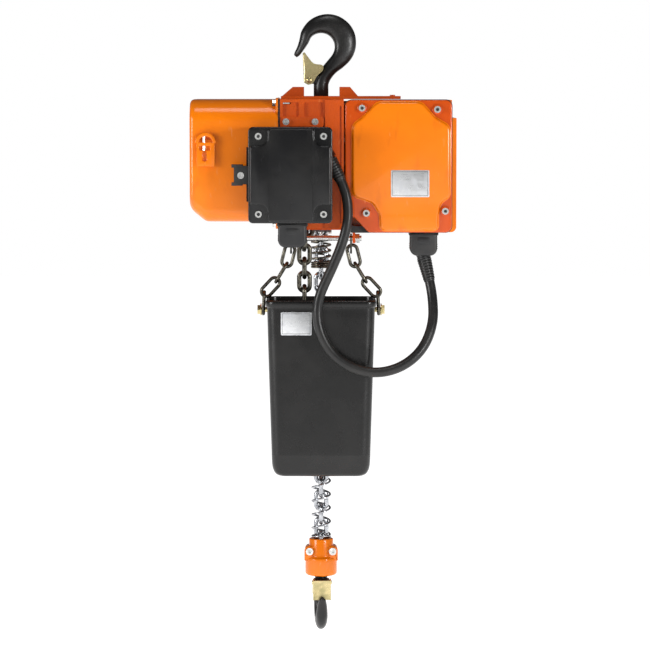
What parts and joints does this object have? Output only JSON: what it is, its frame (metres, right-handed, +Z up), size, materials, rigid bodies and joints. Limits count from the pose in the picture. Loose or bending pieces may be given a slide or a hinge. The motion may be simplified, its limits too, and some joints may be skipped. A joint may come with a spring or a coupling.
{
  "type": "electric chain hoist",
  "caption": "Electric chain hoist with suspension hook, motor and control housings, load sheave, gear train, chain bag on slings and a swivelling load hook with latches.",
  "frame": {"origin": "seat of the suspension hook's bowl, on the load line", "axes": "+Z up along the load line, +X from the motor to the controls, the front with the junction box faces -Y"},
  "size_m": [0.398, 0.2764, 0.9476],
  "materials": {
    "orange_paint": "semi-gloss",
    "orange_casting": "satin",
    "black_forging": "satin",
    "zinc": "satin",
    "yellow_zinc": "satin",
    "chain_steel": "bright",
    "dark_chain": "satin",
    "steel": "machined",
    "bearing_steel": "polished",
    "cast_iron": "matte",
    "aluminium": "satin",
    "copper": "satin",
    "black_plastic": "satin",
    "grey_plastic": "matte",
    "light_plastic": "satin",
    "gasket_rubber": "matte",
    "cable_rubber": "satin",
    "label_foil": "satin"
  },
  "bodies": {
    "hoist_body": {"main_frame": "orange_casting", "top_plate": "orange_casting", "hook_thrust_bearing": "bearing_steel", "motor_cover": "orange_paint", "cover_lug_pin": "zinc", "motor_stator": "steel", "windings": "copper", "motor_end_shields": "aluminium", "brake_coil": "cast_iron", "sheave_bearings": "bearing_steel", "chain_guides": "cast_iron", "gear_case": "aluminium", "housing_bolts": "zinc", "control_box": "orange_paint", "gaskets": "gasket_rubber", "control_lid": "orange_paint", "rating_plate": "label_foil", "mounting_plate": "zinc", "contactors": "light_plastic", "transformer": "steel", "terminal_block": "light_plastic", "junction_box": "black_plastic", "junction_lid": "black_plastic", "junction_bracket": "black_forging", "cable_gland": "grey_plastic", "pendant_plug": "grey_plastic", "supply_plug": "grey_plastic", "side_connector": "grey_plastic", "cover_screws": "zinc", "control_cable": "cable_rubber", "chain_outlet": "black_plastic", "hanger_rod": "zinc", "slack_chain": "dark_chain"},
    "suspension_hook": {"upper_hook": "black_forging", "upper_hook_nut": "steel"},
    "suspension_latch": {"upper_latch": "yellow_zinc"},
    "rotor": {"rotor": "steel", "brake_disc": "cast_iron"},
    "brake_armature": {"brake_armature": "steel"},
    "sheave": {"load_sheave": "steel", "final_gear": "steel", "chain_on_sheave": "chain_steel"},
    "countershaft": {"countershaft": "steel"},
    "limit_switch": {"limit_plate": "steel", "upper_buffer_spring": "dark_chain"},
    "chain_container": {"chain_bag": "black_plastic", "bag_bolts": "yellow_zinc", "bag_label": "label_foil", "bag_slings": "dark_chain", "hanger_plates": "zinc", "stored_chain": "dark_chain"},
    "load_block": {"load_chain": "chain_steel", "buffer_spring": "zinc", "hook_block_front": "orange_paint", "hook_block_rear": "orange_paint", "block_bolts_and_pin": "zinc", "lower_thrust_bearing": "bearing_steel"},
    "load_hook": {"lower_hook": "black_forging", "lower_hook_nut": "steel"},
    "load_latch": {"lower_latch": "yellow_zinc"}
  },
  "joints": [
    {"name": "upper_hook_swivel", "type": "hinge", "parent": "hoist_body", "child": "suspension_hook", "pos_m": [0, 0, -0.1], "axis": [0, 0, 1], "continuous": true},
    {"name": "upper_latch_hinge", "type": "hinge", "parent": "suspension_hook", "child": "suspension_latch", "pos_m": [-0.018, 0, -0.071], "axis": [0, 1, 0], "range_deg": [0, 38], "stiffness_Nm_per_rad": 0.35, "springref_deg": -20.05},
    {"name": "load_travel", "type": "slide", "parent": "hoist_body", "child": "load_block", "axis": [0, 0, 1], "range_m": [-0.063, 0]},
    {"name": "sheave_spin", "type": "hinge", "parent": "hoist_body", "child": "sheave", "pos_m": [0, -0.0266, -0.1915], "axis": [1, 0, 0], "range_deg": [-136, 1]},
    {"name": "countershaft_spin", "type": "hinge", "parent": "hoist_body", "child": "countershaft", "pos_m": [0, 0.02016, -0.1645], "axis": [1, 0, 0], "range_deg": [-5, 680]},
    {"name": "rotor_spin", "type": "hinge", "parent": "hoist_body", "child": "rotor", "pos_m": [0, -0.0266, -0.1915], "axis": [1, 0, 0], "range_deg": [-4760, 5]},
    {"name": "brake_release", "type": "slide", "parent": "hoist_body", "child": "brake_armature", "axis": [-1, 0, 0], "range_m": [0, 0.0005], "stiffness_N_per_m": 4000, "springref_m": -0.002},
    {"name": "limit_plate_lift", "type": "slide", "parent": "hoist_body", "child": "limit_switch", "axis": [0, 0, 1], "range_m": [0, 0.004], "stiffness_N_per_m": 800, "springref_m": -0.004},
    {"name": "bag_swing", "type": "hinge", "parent": "hoist_body", "child": "chain_container", "pos_m": [0, -0.072, -0.309], "axis": [1, 0, 0], "range_deg": [-3.5, 0.8]},
    {"name": "lower_hook_swivel", "type": "hinge", "parent": "load_block", "child": "load_hook", "pos_m": [0, 0, -0.821], "axis": [0, 0, 1], "continuous": true},
    {"name": "lower_latch_hinge", "type": "hinge", "parent": "load_hook", "child": "load_latch", "pos_m": [0.00113, -0.01611, -0.84215], "axis": [0.9976, 0.0698, 0], "range_deg": [0, 38], "stiffness_Nm_per_rad": 0.2, "springref_deg": -20.05}
  ],
  "couplings": [
    {"joint": "sheave_spin", "follows": "load_travel", "rad_per_m": 37.4},
    {"joint": "countershaft_spin", "follows": "load_travel", "rad_per_m": -187},
    {"joint": "rotor_spin", "follows": "load_travel", "rad_per_m": 1309}
  ]
}
